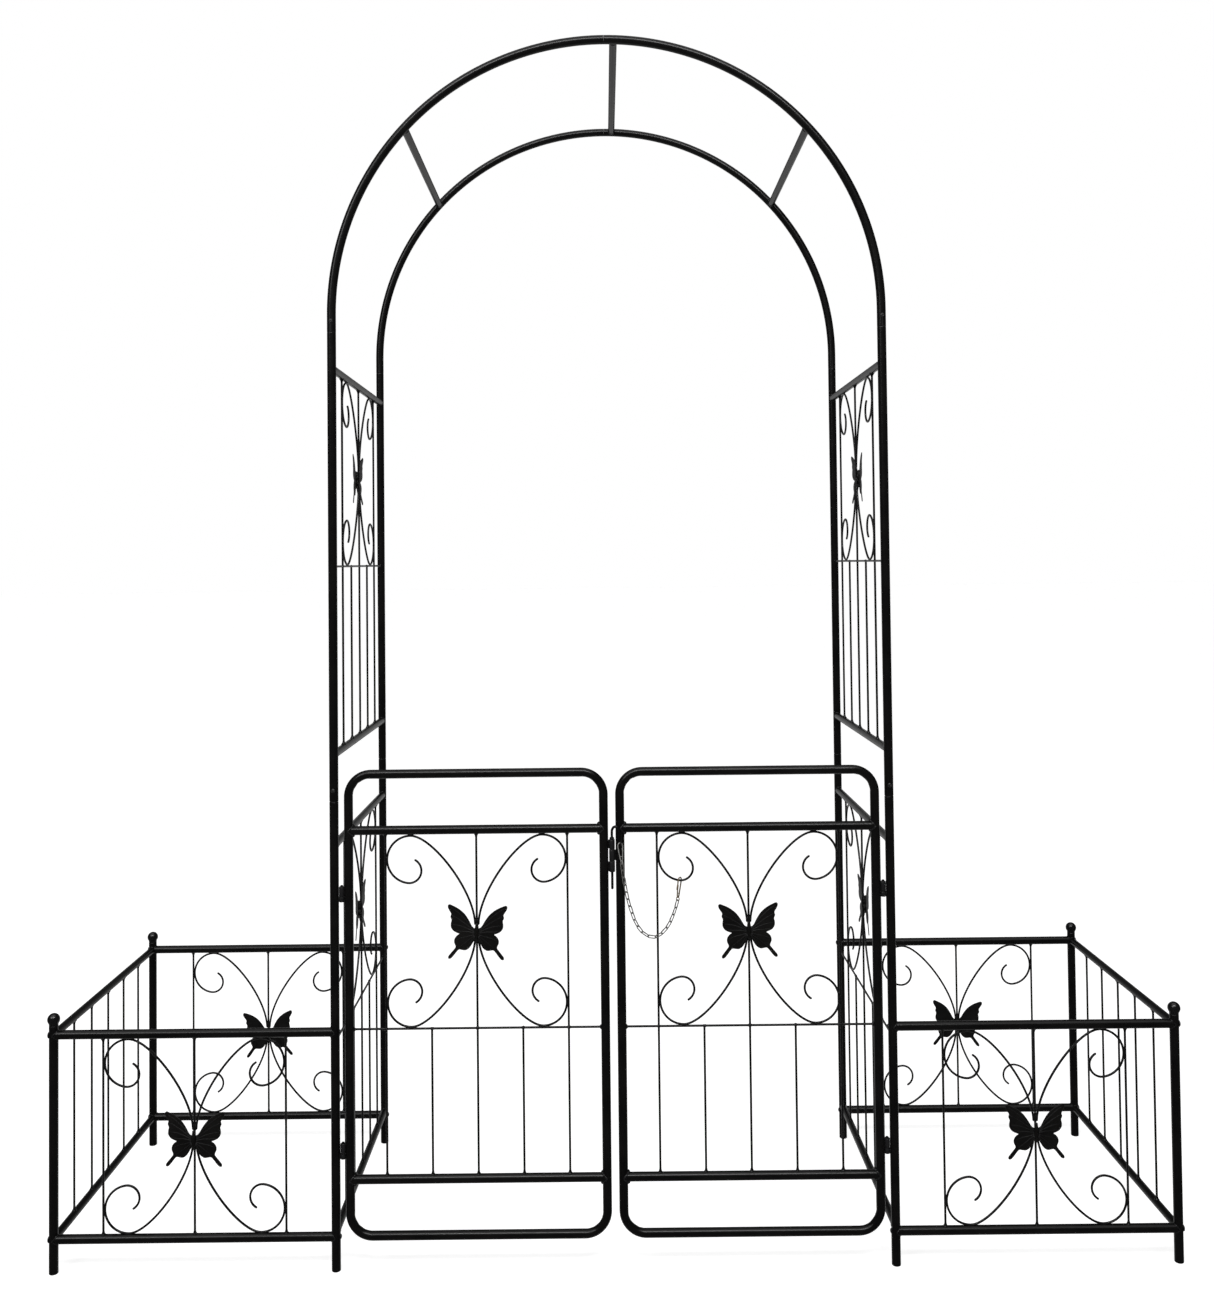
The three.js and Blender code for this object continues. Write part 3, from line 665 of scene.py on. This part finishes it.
def scrolls(shape, upper_edge, lower_edge):
    """The four scrolls of a motif, with welds where they touch the rails and rods."""
    centre = motif_centre(upper_edge, lower_edge)
    reach = upper_edge - centre - ROD + WELD
    touch = 2 * ROD_SPACING - ROD
    for side in (-1, 1):
        for way in (-1, 1):
            wire(shape, scroll_points(side, centre, way * reach), ROD, ROD_SIDES, side_axis=Y_AXIS)
            at_rail = (side * CURL_X, 0, centre + way * (reach + 0.0008))
            at_rod = (side * touch, 0, centre + way * (reach - SCROLL["curl"]))
            at_stem = (side * 0.0018, 0, centre + way * 0.015)
            weld_spot(shape, at_rail, X_AXIS, *DROP["curl"])
            weld_spot(shape, at_rod, Z_AXIS, *DROP["curl"])
            weld_spot(shape, at_stem, Z_AXIS, *DROP["stem"])


def rod_weld(shape, rail_point, along, rail_radius):
    """The fillet of weld round a rod, where it leaves a rail."""
    start = Vector(rail_point)
    spread = 0.0046 + 0.0008 * noise.noise(start * 97)
    heights = (-0.0024, -0.0006, 0.0006, 0.0018, 0.0034, 0.0052, 0.0060)
    radii = (spread, spread * 0.96, spread * 0.78, spread * 0.60, 0.0024, 0.0021, 0.0019)
    profile = [(rail_radius + height, radius) for height, radius in zip(heights, radii)]
    lathe(shape, start, along, profile, 14)


def rod_places(count):
    """Where upright rods stand, spread evenly across four rod spacings."""
    spacing = 4 * ROD_SPACING / (count - 1)
    return [(i - (count - 1) / 2) * spacing for i in range(count)]


def rods(shape, count, bottom, top, low_rail, top_rail):
    """Upright rods, welded to the rails at their ends. A rail is given by its radius, 0 for none."""
    for x in rod_places(count):
        sweep(shape, [(x, 0, bottom), (x, 0, (bottom + top) / 2), (x, 0, top)], ROD, ROD_SIDES)
        if top_rail:
            rod_weld(shape, (x, 0, top), -Z_AXIS, top_rail)
        if low_rail:
            rod_weld(shape, (x, 0, bottom), Z_AXIS, low_rail)


def level_rod(shape, z, half):
    sweep(shape, [(-half, 0, z), (0, 0, z), (half, 0, z)], ROD, ROD_SIDES)


def rail(shape, z, half, radius):
    """A rail between two posts, run into both and seam-welded to them."""
    end = half + RUN_IN
    sweep(shape, [(-end, 0, z), (0, 0, z), (end, 0, z)], radius)
    for side in (-1, 1):
        post = side * (half + TUBE)
        weld_seam(shape, (post, 0, z), (-side, 0, 0), Z_AXIS, radius, TUBE)


def cross_spots(shape, z):
    """Welds where upright rods cross or end on the middle rod."""
    for x in rod_places(5):
        weld_spot(shape, (x, 0, z), X_AXIS, *DROP["crossing"])


def side_wall(name, side):
    """The upper and lower panel between the two posts of one side."""
    shape = Shape()
    shape.place = placed(side * ARCH_X, 0, side * 90)
    for panel in (UPPER_PANEL, LOWER_PANEL):
        top, mid, bottom = panel["top"], panel["mid"], panel["bottom"]
        rail(shape, top, RAIL_HALF, THIN_TUBE)
        rail(shape, bottom, RAIL_HALF, THIN_TUBE)
        level_rod(shape, mid, RAIL_HALF)
        cross_spots(shape, mid)
        for end in (-1, 1):
            weld_spot(shape, (end * (RAIL_HALF - 0.0005), 0, mid), Z_AXIS, *DROP["wall_rod_end"])
        rods(shape, 3, mid, top, 0, THIN_TUBE)
        rods(shape, 5, bottom, mid, THIN_TUBE, 0)
        scrolls(shape, top - THIN_TUBE, mid + ROD)
    shape.finish(f"side_wall_{name}", powder_coat, "root",
                 [f"side_wall_upper_{name}", f"side_wall_lower_{name}"])


def planter_frame(name, side):
    """Posts, front and rear scroll panels and the end panel of one planter."""
    shape = Shape()
    x = side * PLANTER_X
    middle = side * (PLANTER_X + ARCH_X) / 2
    half = (PLANTER_X - ARCH_X) / 2 - TUBE
    top, bottom = PLANTER_PANEL["top"], PLANTER_PANEL["bottom"]
    nodes = [f"planter_end_panel_{name}"]
    for end_name, end in ENDS:
        y = end * DEPTH_Y
        shape.place = placed(x, y)
        tube(shape, [(0, 0, 0), (0, 0, 0.2), (0, 0, PLANTER_POST_TOP)], TUBE)
        shape.place = placed(middle, y, 0 if end < 0 else 180)
        rail(shape, top, half, TUBE)
        rail(shape, bottom, half, TUBE)
        rods(shape, 3, bottom, top, TUBE, TUBE)
        scrolls(shape, top - TUBE, bottom + TUBE)
        nodes += [f"planter_post_{end_name}_{name}", f"planter_panel_{end_name}_{name}"]
    shape.place = placed(x, 0, side * 90)
    rail(shape, top, RAIL_HALF, THIN_TUBE)
    rail(shape, bottom, RAIL_HALF, THIN_TUBE)
    rods(shape, 5, bottom, top, THIN_TUBE, THIN_TUBE)
    shape.finish(f"planter_frame_{name}", powder_coat, "root", nodes)


def planter_bolts(name, side):
    """Bolt heads on the posts, in line with the front and rear rails that they hold."""
    shape = Shape()
    for _, end in ENDS:
        for z in PLANTER_PANEL.values():
            outer = (side * (PLANTER_X + TUBE - SUNK), end * DEPTH_Y, z)
            screw_head(shape, outer, (side, 0, 0), *OUTER_BOLT, recess=False)
            inner = (side * (ARCH_X - TUBE + SUNK), end * DEPTH_Y, z)
            screw_head(shape, inner, (-side, 0, 0), *INNER_BOLT, recess=False)
    shape.finish(f"planter_bolts_{name}", screw_black, "root", [])


def finial(corner, x, y):
    """A black ball pressed onto the post's open end, with a short skirt."""
    shape = Shape()
    skirt, steps = 0.0080, 20
    centre = GAP + BALL - 0.0006
    profile = [(-0.003, 0.0052), (0.0001, 0.0056), (0.0002, 0.0078), (0.0008, 0.0081), (0.0022, skirt)]
    for i in range(1, steps):
        angle = (math.pi - math.asin(skirt / BALL)) * (1 - i / steps)
        profile.append((centre + BALL * math.cos(angle), BALL * math.sin(angle)))
    profile.append((centre + BALL, 0.0003))
    lathe(shape, (x, y, PLANTER_POST_TOP), Z_AXIS, profile, 36)
    shape.finish(f"finial_ball_{corner}", finial_black, "root", [f"planter_finial_{corner}"])


# ---- butterflies
# Half a pair of wings and its veins, as (across, up) in millimetres from the body.
WING_OUTLINE = (
    (2.4, 7.5), (7.5, 10.5), (14, 21.5), (22.7, 33.2), (34.6, 42.1),
    (45, 46.8), (50.5, 48.5), (53, 46.6), (52.8, 42.5), (49.8, 37),
    (46.8, 31.8), (47.8, 26.5), (45.8, 21.2), (46.8, 15), (46.4, 8.5),
    (42, 2.2), (35, -1.2), (31.2, -2.6), (35.2, -5.8), (39.2, -11.5),
    (39.8, -18), (37, -25.8), (40.2, -31), (46, -38.2), (49.7, -43.6),
    (49.4, -47), (46, -47.4), (40.4, -42), (35.6, -35.6), (30.6, -30.4),
    (25, -30.8), (19, -31), (12.5, -26.8), (7.2, -18.8), (3, -10),
)
WING_VEINS = (
    ((4, 6), (18, 21), (36, 36), (47, 43)),
    ((4, 4), (18, 14), (34, 24), (44.5, 29)),
    ((4, 2), (18, 8), (32, 12), (43, 13)),
    ((4, 0), (16, 2), (28, 2), (38, 3)),
    ((4, -3), (14, -6), (26, -9), (35.5, -13)),
    ((4, -5), (12, -11), (22, -19), (31.5, -26.5)),
    ((3, -6), (8, -13), (13, -21), (19, -28.5)),
)
WING_BACK, WING_FACE = 0.0006, -0.0006  # y of the plate's two faces, before the wing is bent


def inset(outline, distance):
    """The outline moved inwards. It runs clockwise."""
    count = len(outline)
    moved = []
    for i, point in enumerate(outline):
        along = (outline[(i + 1) % count] - outline[i - 1]).normalized()
        moved.append(point + Vector((along.y, -along.x)) * distance)
    return moved


def wing(shape, side, base):
    """A pressed plate: a soft-edged rim, a sunken field and raised veins."""
    curve = smooth_path([(x * MM, 0, z * MM) for x, z in WING_OUTLINE], 4, closed=True)
    outline = [Vector((p.x, p.z)) for p in curve]
    # How far in from the outline, and y, of the rings of points from the back to the face.
    layers = [(0.0006, WING_BACK), (0, WING_BACK - 0.0003), (0, WING_FACE + 0.0001),
              (0.0003, WING_FACE - 0.0002), (0.0010, WING_FACE - 0.0002), (0.0014, WING_FACE + 0.0003)]
    points = []
    for distance, y in layers:
        points += [Vector((side * p.x, y, p.y)) for p in inset(outline, distance)]
    faces = rings_to_faces(len(layers), len(outline))
    if side > 0:
        faces = [tuple(reversed(face)) for face in faces]
    shape.place = base @ rotation(side * BEND_DEG, "Z")
    shape.add(points, faces, [len(faces) - 2, len(faces) - 1])
    for vein in WING_VEINS:
        path = smooth_path([(side * x * MM, WING_FACE + 0.0002, z * MM) for x, z in vein], 5)
        radii = [0.0009 - 0.0005 * i / (len(path) - 1) for i in range(len(path))]
        sweep(shape, path, radii, 8)
    shape.place = base


def butterfly(group, spot, body, x, y, motif_z, turn_deg):
    """One butterfly in front of its rods. turn_deg turns its face from -Y to its own outer side."""
    shape = Shape()
    drop, lean_deg = BUTTERFLY_SEATS[f"{group}_{spot}"]
    place = Matrix.Translation((x, y, motif_z - drop)) @ rotation(turn_deg, "Z") @ rotation(lean_deg, "Y")
    for side in (-1, 1):
        wing(shape, side, place)
    shape.place = place
    profile = [(-0.0172, 0.0004), (-0.0165, 0.0011), (-0.013, 0.0019), (-0.0085, 0.0024), (-0.004, 0.0026),
               (-0.002, 0.0025), (0.0005, 0.0031), (0.004, 0.0034), (0.0095, 0.0034), (0.0125, 0.0031),
               (0.0135, 0.0027), (0.0145, 0.0029), (0.0158, 0.0029), (0.0170, 0.0023), (0.0178, 0.0010),
               (0.018, 0.0003)]
    lathe(shape, (0, 0, 0), Z_AXIS, profile, 20)
    weld_spot(shape, (0, 0.0028, 0.005), Z_AXIS, *DROP["butterfly_high"])
    weld_spot(shape, (0, 0.0028, -0.008), Z_AXIS, *DROP["butterfly_low"])
    node = f"{group}_butterfly_{spot}"
    shape.finish(f"{node}_plate", butterfly_coat, body, [node])


# ---- gate leaves
def web(shape, start_x, end_x, bottom, top, width):
    """A small plate that joins a sleeve to its tube, with rounded weld beads along both faces."""
    low, high = min(start_x, end_x), max(start_x, end_x)
    half, ease = width / 2, 0.0004
    points = []
    outline = [(-half, bottom + ease), (-half, top - ease), (-half + ease, top), (half - ease, top),
               (half, top - ease), (half, bottom + ease), (half - ease, bottom), (-half + ease, bottom)]
    for x in (low, high):
        points += [Vector((x, GATE_Y + dy, z)) for dy, z in outline]
    faces = rings_to_faces(2, len(outline))
    shape.add(points, faces, range(len(faces)))
    for way in (-1, 1):
        spot = ((low + high) / 2, GATE_Y + way * half, (bottom + top) / 2)
        weld_spot(shape, spot, Z_AXIS, (top - bottom) * 1.05, 0.0011)


def ring_on_web(shape, ring_x, tube_x, bottom, top, radius, bore):
    """A hollow ring, and the web between its wall and the tube beside it."""
    height, ease = top - bottom, 0.0005
    profile = [(0, bore), (0, radius - ease), (ease, radius), (height - ease, radius),
               (height, radius - ease), (height, bore)]
    lathe(shape, (ring_x, GATE_Y, bottom), Z_AXIS, profile, 24, closed=True)
    way = math.copysign(1, tube_x - ring_x)
    web(shape, ring_x + way * 0.0038, tube_x - way * 0.006, bottom + 0.001, top - 0.001, 0.003)


def gate_outline(side):
    """The bent tube round the leaf, as one closed line, and the centres of its four bends."""
    near, far = side * GATE["meeting"], side * GATE["hinge"]
    left, right = min(near, far), max(near, far)
    r = GATE["corner"]
    corners = [(right - r, GATE["top"] - r), (left + r, GATE["top"] - r),
               (left + r, GATE["bottom"] + r), (right - r, GATE["bottom"] + r)]
    centres = [Vector((x, GATE_Y, z)) for x, z in corners]
    path = []
    for i, centre in enumerate(centres):
        path += arc(centre, r, 90 * i, 90 * (i + 1), BEND_STEPS)
    return path, centres


def bend_dents(path, centres, seed):
    """Tube bent without a mandrel: the inner side of each bend is pressed in and ripples a little."""

    def dent(i, direction):
        point = path[i]
        bend, step = divmod(i, BEND_STEPS + 1)
        share = math.sin(math.pi * step / BEND_STEPS) ** 0.7 if 0 < step < BEND_STEPS else 0
        inward = max((centres[bend] - point).normalized().dot(direction), 0)
        ripple = noise.noise(point * 130 + Vector((seed, 0, 0)))
        return 1 - share * inward**2 * (0.085 + 0.10 * ripple)

    return dent


def gate_frame(shape, side):
    """The bent tube, its two rails, and the sleeves and knuckles that it carries."""
    near, far = side * GATE["meeting"], side * GATE["hinge"]
    middle = (near + far) / 2
    path, centres = gate_outline(side)
    sweep(shape, path, TUBE, side_axis=Y_AXIS, closed=True, dent=bend_dents(path, centres, side))
    for z in (GATE["upper"], GATE["lower"]):
        sweep(shape, [(near, GATE_Y, z), (middle, GATE_Y, z), (far, GATE_Y, z)], TUBE)
        for x, way in ((near, side), (far, -side)):
            weld_seam(shape, (x, GATE_Y, z), (way, 0, 0), Z_AXIS, TUBE, TUBE, 0.0018)
            for above in (-1, 1):
                corner = (x + way * (TUBE + 0.0003), GATE_Y, z + above * (TUBE + 0.0003))
                weld_spot(shape, corner, Y_AXIS, *DROP["gate_corner"])
    # The weld that closes the bent tube, low on its back.
    weld_spot(shape, (middle + 0.031, GATE_Y + 0.0058, GATE["bottom"] - 0.0055), Y_AXIS, *DROP["gate_seam"])
    for z in HINGE["heights"]:
        bottom = z + HINGE["lug"] + GAP
        ring_on_web(shape, side * HINGE["x"], far, bottom, bottom + HINGE["sleeve"],
                    HINGE["radius"], HINGE["bore"])
    for bottom, top in KNUCKLE[side]:
        ring_on_web(shape, 0, near, bottom, top, KNUCKLE["radius"], KNUCKLE["bore"])


def gate_infill(shape, side):
    """The leaf's rods and scrolls, with the middle rod that they meet on."""
    middle = side * (GATE["meeting"] + GATE["hinge"]) / 2
    half = (GATE["hinge"] - GATE["meeting"]) / 2 - TUBE
    shape.place = placed(middle, GATE_Y)
    level_rod(shape, GATE["mid"], half + 0.002)
    for end in (-1, 1):
        weld_spot(shape, (end * (half - 0.0003), 0, GATE["mid"]), Z_AXIS, *DROP["gate_rod_end"])
    cross_spots(shape, GATE["mid"])
    rods(shape, 3, GATE["mid"], GATE["upper"], 0, TUBE)
    rods(shape, 5, GATE["lower"], GATE["mid"], TUBE, 0)
    scrolls(shape, GATE["upper"] - TUBE - GATE_SCROLL_DROP, GATE["mid"] + ROD)
    shape.place = Matrix.Identity(4)


def gate_leaf(name, side):
    shape = Shape()
    gate_frame(shape, side)
    gate_infill(shape, side)
    shape.finish(f"gate_leaf_{name}", powder_coat, f"{name}_gate",
                 [f"gate_frame_{name}", f"gate_infill_{name}"])


def hinge_pintles(name, side):
    """The lugs on the front post, each with the pin that a sleeve of the leaf drops over."""
    shape = Shape()
    x, post = side * HINGE["x"], ARCH_X - TUBE
    lug, radius, pin, ease = HINGE["lug"], HINGE["radius"], HINGE["pin"], 0.0005
    top = lug + HINGE["sleeve"] + 0.003
    profile = [(0, radius - ease), (ease, radius), (lug - ease, radius), (lug, radius - ease),
               (lug, pin + 0.0002), (lug + 0.0001, pin), (top - 0.001, pin), (top - 0.0003, pin - 0.0004),
               (top, pin - 0.0012)]
    for z in HINGE["heights"]:
        lathe(shape, (x, GATE_Y, z), Z_AXIS, profile, 24)
        web(shape, x, side * (post + 0.0008), z + 0.001, z + lug - 0.001, 0.006)
        for way in (-1, 1):
            spot = (side * (post - 0.0002), GATE_Y + way * 0.0034, z + lug / 2)
            weld_spot(shape, spot, Z_AXIS, lug, 0.0013)
    shape.finish(f"hinge_pins_{name}", powder_coat, "root",
                 [f"hinge_pintle_lower_{name}", f"hinge_pintle_upper_{name}"])


def latch_pin():
    """A cane-shaped drop pin with a stop collar, and an eye welded to the end of its handle."""
    shape = Shape()
    shank = [(0, GATE_Y, z) for z in (0.6665, 0.70, 0.73, 0.752)]
    handle = smooth_path([
        (0, GATE_Y, 0.758), (0, GATE_Y, 0.763), (0.0005, -0.256, 0.771), (0.0035, -0.2605, 0.7765),
        (0.008, LATCH_Y, 0.7775), (0.0125, LATCH_Y, 0.7735), (EYE["x"], LATCH_Y, 0.765),
        (EYE["x"], LATCH_Y, 0.7525)], 6)
    wire(shape, shank + handle, 0.0023, 20)
    sleeve(shape, (0, GATE_Y, 0.7534), Z_AXIS, 0.003, 0.0042, 0.0036, 24)
    right = rotation(EYE["turn"], "Z") @ X_AXIS
    eye = circle((EYE["x"], LATCH_Y, EYE["z"]), EYE["radius"], 24, right)
    sweep(shape, eye, EYE["wire"], ROD_SIDES, closed=True, side_axis=right.cross(Z_AXIS))
    weld_spot(shape, (EYE["x"], LATCH_Y, 0.7518), Z_AXIS, *DROP["latch_eye"])
    shape.finish("latch_pin_cane", powder_coat, "latch_pin", ["latch_pin"])


# ---- assembly
for end_name, end in ENDS:
    arch_hoop(end_name, end * DEPTH_Y)
    joint_screws(end_name, end * DEPTH_Y)
for bar_name, bar_deg in CROSS_BARS:
    cross_bar(bar_name, bar_deg)

for side_name, side in SIDES:
    side_wall(side_name, side)
    planter_frame(side_name, side)
    planter_bolts(side_name, side)
    hinge_pintles(side_name, side)
    gate_leaf(side_name, side)
    for end_name, end in ENDS:
        finial(f"{end_name}_{side_name}", side * PLANTER_X, end * DEPTH_Y)
latch_pin()

for side_name, side in SIDES:
    for level, panel in (("upper", UPPER_PANEL), ("lower", LOWER_PANEL)):
        butterfly("side", f"{level}_{side_name}", "root", side * (ARCH_X + BUTTERFLY_OFFSET), 0,
                  motif_centre(panel["top"] - THIN_TUBE, panel["mid"] + ROD), side * 90)
    middle = side * (PLANTER_X + ARCH_X) / 2
    for end_name, end in ENDS:
        butterfly("planter", f"{end_name}_{side_name}", "root", middle,
                  end * (DEPTH_Y + BUTTERFLY_OFFSET),
                  motif_centre(PLANTER_PANEL["top"], PLANTER_PANEL["bottom"]), 0 if end < 0 else 180)
    butterfly("gate", side_name, f"{side_name}_gate", side * (GATE["meeting"] + GATE["hinge"]) / 2,
              GATE_Y - BUTTERFLY_OFFSET, motif_centre(GATE["upper"] - TUBE, GATE["mid"] + ROD), 0)


# ---- floor and light
def make_floor():
    """A pale, evenly lit floor that doesn't show in reflections."""
    material = bpy.data.materials.new("pale_floor")
    n = Nodes(material)
    shade = n.remap(n.noise(1.7, 3), 0.3, 0.7, 0.60, 0.64)
    colour = n.node("ShaderNodeCombineColor", {"Red": shade, "Green": shade, "Blue": shade}).outputs[0]
    n.feed(Base_Color=colour, Roughness=0.9, Specular_IOR_Level=0.1, Emission_Strength=0.75,
           Emission_Color=(1, 1, 1))
    reach = 60
    mesh = bpy.data.meshes.new("floor")
    mesh.from_pydata([(-reach, -reach, 0), (reach, -reach, 0), (reach, reach, 0), (-reach, reach, 0)],
                     [], [(0, 1, 2, 3)])
    mesh.materials.append(material)
    floor = add_object("floor", mesh)
    floor.visible_glossy = False


# The backdrop glows towards one direction. edge is where its glow starts and is full, as cosines.
BACKDROP = {"towards": (0, 0.8, -0.6), "edge": (0.45, 0.85), "strength": (0.04, 0.5)}
OVERHEAD = {"strength": 1.2, "spread": 75, "turn": (14, -6, 0)}  # degrees
# Name, watts, size and place. Both face the same spot.
AREA_LIGHTS = (("softbox", 40, (1.4, 1.4), (-2.6, -3.2, 3.4)), ("strip", 80, (2.6, 0.5), (0, -2.7, 3.6)))
AIM = (0, 0, 1.0)


def make_backdrop():
    """A glow behind and below the object. The camera itself sees plain white everywhere."""
    world = bpy.data.worlds.new("studio")
    bpy.context.scene.world = world
    n = Nodes(world, "Background", "Generated")
    facing = n.node("ShaderNodeVectorMath", {0: n.place, 1: BACKDROP["towards"]}, operation="DOT_PRODUCT")
    glow = n.remap(facing.outputs["Value"], *BACKDROP["edge"], *BACKDROP["strength"])
    seen = n.node("ShaderNodeLightPath", {}).outputs["Is Camera Ray"]
    n.feed(Strength=n.remap(seen, 0, 1, glow, 1), Color=(1, 1, 1))


def make_lights():
    """A soft overhead light, a softbox and a strip light."""
    overhead = bpy.data.lights.new("overhead", "SUN")
    overhead.energy = OVERHEAD["strength"]
    overhead.angle = math.radians(OVERHEAD["spread"])
    lamp = add_object("overhead", overhead)
    lamp.rotation_euler = [math.radians(degrees) for degrees in OVERHEAD["turn"]]

    for name, energy, size, spot in AREA_LIGHTS:
        light = bpy.data.lights.new(name, "AREA")
        light.shape = "RECTANGLE"
        light.energy = energy
        light.size, light.size_y = size
        box = add_object(name, light)
        box.location = spot
        aim = Vector(AIM) - box.location
        box.rotation_euler = aim.to_track_quat("-Z", "Y").to_euler()


make_floor()
make_backdrop()
make_lights()
bpy.context.scene.view_settings.view_transform = "Standard"
